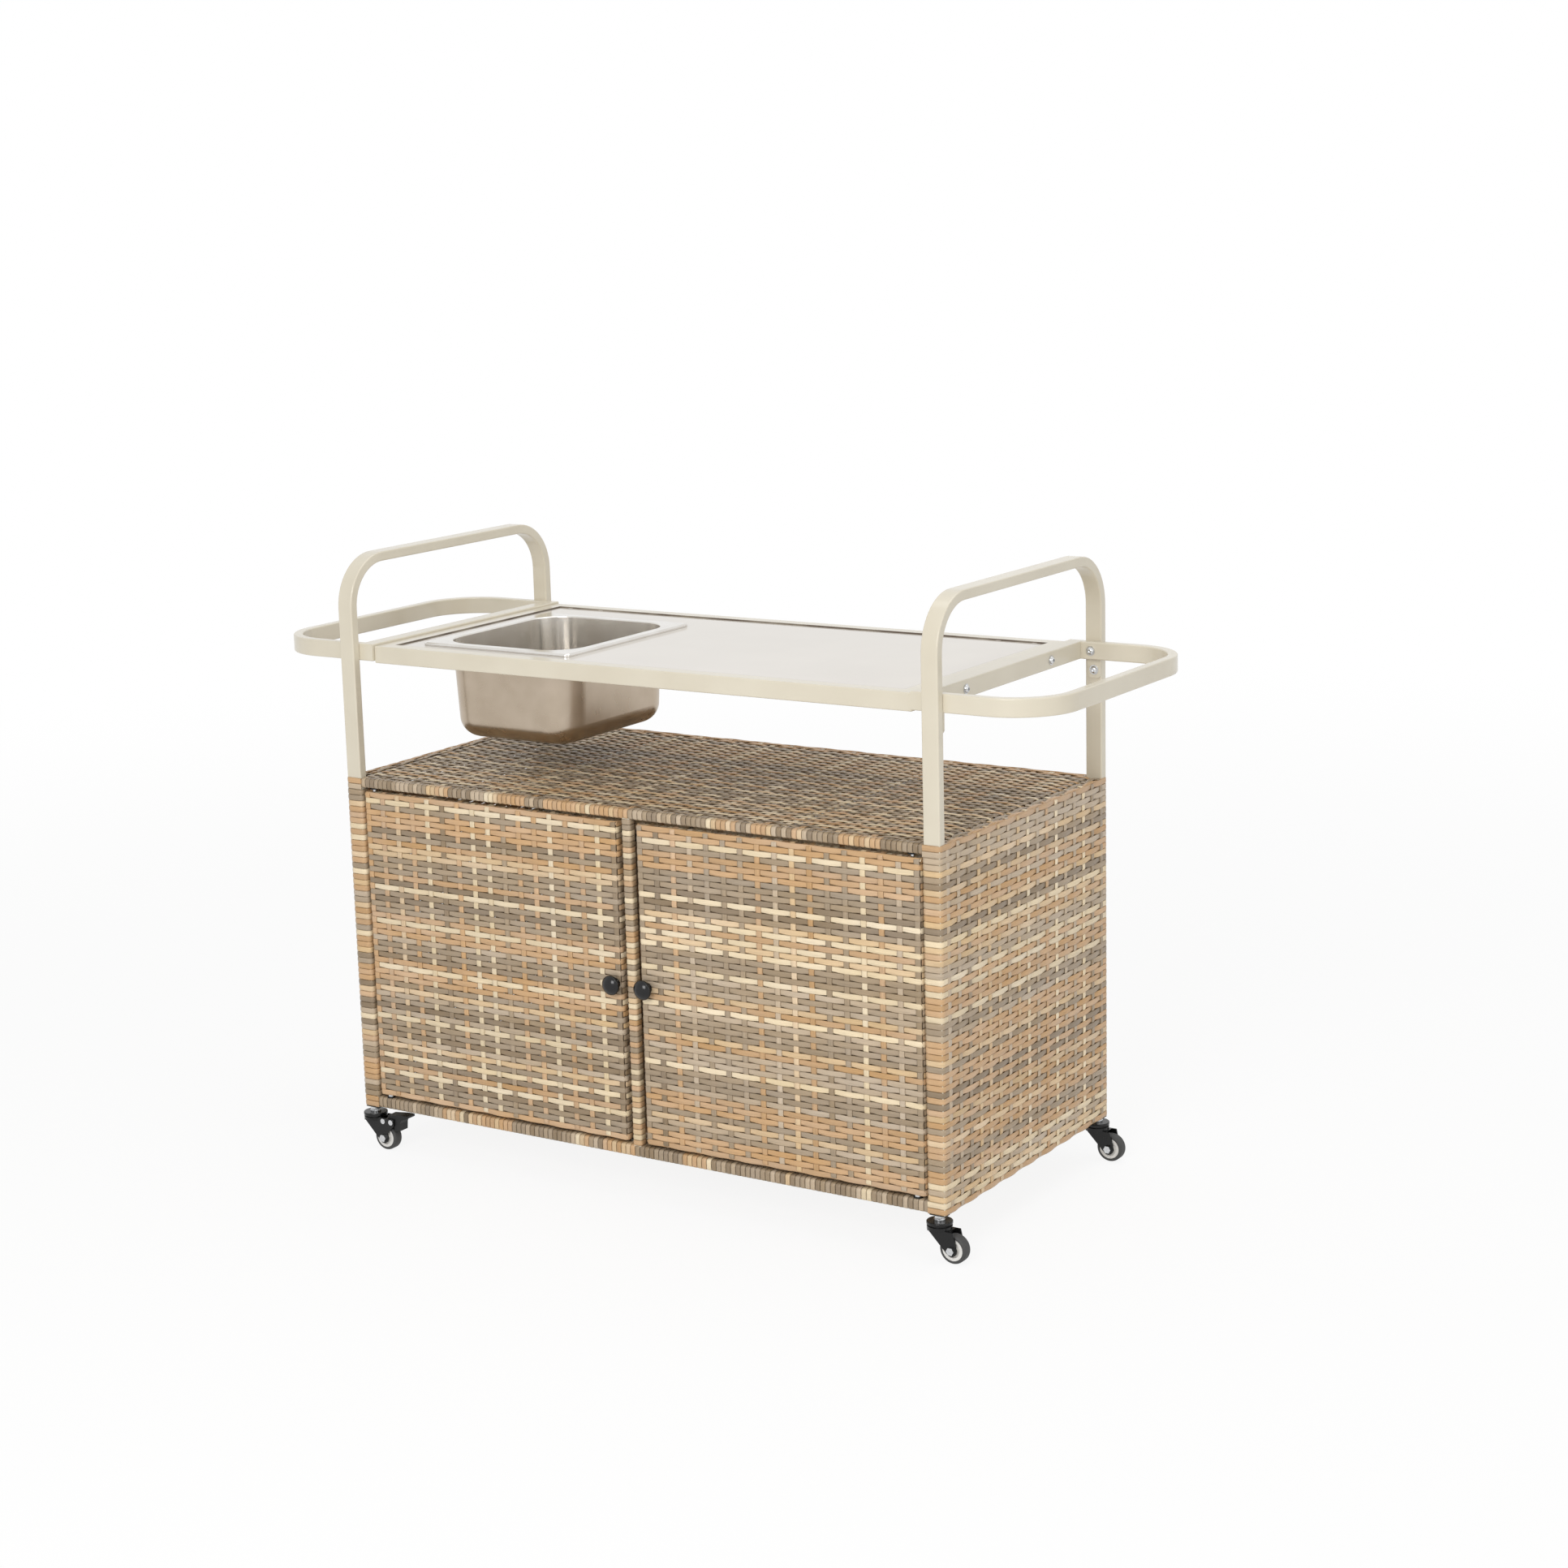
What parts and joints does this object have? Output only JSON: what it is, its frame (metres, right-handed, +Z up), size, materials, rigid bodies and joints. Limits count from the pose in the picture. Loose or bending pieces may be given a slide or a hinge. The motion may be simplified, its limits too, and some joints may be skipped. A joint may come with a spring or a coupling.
{
  "type": "outdoor bar cart",
  "caption": "Rolling outdoor bar cart: woven cabinet with hinged doors, open shelf, framed serving top with a lift-out pan, hooped ends, end rings and swivel castors.",
  "frame": {"origin": "on the floor under the middle of the whole outline", "axes": "+Z up, +X along the cart from the pan end to the other end, -Y out of the doors"},
  "size_m": [1.3, 0.5106, 0.895],
  "materials": {
    "powder_coat": "semi-gloss beige powder coat",
    "rattan": "mixed tan, cream and grey flat plastic strand, woven",
    "panel": "polished taupe",
    "pan_steel": "satin",
    "bolt_steel": "plated",
    "knob_black": "gloss",
    "black_plastic": "matte",
    "fork_black": "satin black",
    "wheel_white": "gloss",
    "tyre_rubber": "matte",
    "clear_pad": "translucent"
  },
  "bodies": {
    "frame": {"hoop_left": "powder_coat", "hoop_right": "powder_coat", "post_plugs": "black_plastic", "front_frame": "powder_coat", "rear_rails": "powder_coat", "side_rails": "powder_coat", "cross_bars": "powder_coat", "front_top_wrap": "rattan", "front_bottom_wrap": "rattan", "stile_wrap": "rattan", "side_weave_left": "rattan", "side_weave_right": "rattan", "back_weave": "rattan", "shelf_weave": "rattan", "floor_weave": "rattan", "table_frame": "powder_coat", "table_panel": "panel", "panel_pads": "clear_pad", "ring_left": "powder_coat", "ring_right": "powder_coat", "ring_table_bolts": "bolt_steel", "ring_post_bolts": "bolt_steel", "ring_tab_bolts": "bolt_steel", "door_bushes": "black_plastic", "magnet_catch": "black_plastic", "castor_stems": "bolt_steel"},
    "ice_pan": {"ice_pan": "pan_steel"},
    "left_door": {"left_door_frame": "powder_coat", "left_door_weave": "rattan", "left_door_pins": "bolt_steel", "left_knob": "knob_black", "left_knob_screw": "bolt_steel", "left_strike_plate": "bolt_steel"},
    "right_door": {"right_door_frame": "powder_coat", "right_door_weave": "rattan", "right_door_pins": "bolt_steel", "right_knob": "knob_black", "right_knob_screw": "bolt_steel", "right_strike_plate": "bolt_steel"},
    "front_left_castor": {"front_left_castor_fork": "fork_black", "front_left_castor_axle": "bolt_steel", "front_left_brake_rivets": "bolt_steel"},
    "front_left_wheel": {"front_left_castor_rim": "wheel_white", "front_left_castor_tyre": "tyre_rubber"},
    "front_left_brake": {"front_left_brake_pedal": "black_plastic"},
    "front_right_castor": {"front_right_castor_fork": "fork_black", "front_right_castor_axle": "bolt_steel"},
    "front_right_wheel": {"front_right_castor_rim": "wheel_white", "front_right_castor_tyre": "tyre_rubber"},
    "rear_left_castor": {"rear_left_castor_fork": "fork_black", "rear_left_castor_axle": "bolt_steel", "rear_left_brake_rivets": "bolt_steel"},
    "rear_left_wheel": {"rear_left_castor_rim": "wheel_white", "rear_left_castor_tyre": "tyre_rubber"},
    "rear_left_brake": {"rear_left_brake_pedal": "black_plastic"},
    "rear_right_castor": {"rear_right_castor_fork": "fork_black", "rear_right_castor_axle": "bolt_steel"},
    "rear_right_wheel": {"rear_right_castor_rim": "wheel_white", "rear_right_castor_tyre": "tyre_rubber"}
  },
  "joints": [
    {"name": "pan_lift", "type": "slide", "parent": "frame", "child": "ice_pan", "axis": [0, 0, 1], "range_m": [0, 0.2]},
    {"name": "left_door_hinge", "type": "hinge", "parent": "frame", "child": "left_door", "pos_m": [-0.455, -0.22825, 0.317], "axis": [0, 0, -1], "range_deg": [0, 110]},
    {"name": "right_door_hinge", "type": "hinge", "parent": "frame", "child": "right_door", "pos_m": [0.455, -0.22825, 0.317], "axis": [0, 0, 1], "range_deg": [0, 110]},
    {"name": "front_left_swivel", "type": "hinge", "parent": "frame", "child": "front_left_castor", "pos_m": [-0.4875, -0.22875, 0.05], "axis": [0, 0, 1], "continuous": true},
    {"name": "front_left_roll", "type": "hinge", "parent": "front_left_castor", "child": "front_left_wheel", "pos_m": [-0.4645, -0.22875, 0.02], "axis": [0, 1, 0], "continuous": true},
    {"name": "front_left_brake_press", "type": "hinge", "parent": "front_left_castor", "child": "front_left_brake", "pos_m": [-0.4495, -0.22875, 0.046], "axis": [0, 1, 0], "range_deg": [0, 18]},
    {"name": "front_right_swivel", "type": "hinge", "parent": "frame", "child": "front_right_castor", "pos_m": [0.4875, -0.22875, 0.05], "axis": [0, 0, 1], "continuous": true},
    {"name": "front_right_roll", "type": "hinge", "parent": "front_right_castor", "child": "front_right_wheel", "pos_m": [0.5105, -0.22875, 0.02], "axis": [0, 1, 0], "continuous": true},
    {"name": "rear_left_swivel", "type": "hinge", "parent": "frame", "child": "rear_left_castor", "pos_m": [-0.4875, 0.23725, 0.05], "axis": [0, 0, 1], "continuous": true},
    {"name": "rear_left_roll", "type": "hinge", "parent": "rear_left_castor", "child": "rear_left_wheel", "pos_m": [-0.4645, 0.23725, 0.02], "axis": [0, 1, 0], "continuous": true},
    {"name": "rear_left_brake_press", "type": "hinge", "parent": "rear_left_castor", "child": "rear_left_brake", "pos_m": [-0.4495, 0.23725, 0.046], "axis": [0, 1, 0], "range_deg": [0, 18]},
    {"name": "rear_right_swivel", "type": "hinge", "parent": "frame", "child": "rear_right_castor", "pos_m": [0.4875, 0.23725, 0.05], "axis": [0, 0, 1], "continuous": true},
    {"name": "rear_right_roll", "type": "hinge", "parent": "rear_right_castor", "child": "rear_right_wheel", "pos_m": [0.5105, 0.23725, 0.02], "axis": [0, 1, 0], "continuous": true}
  ]
}
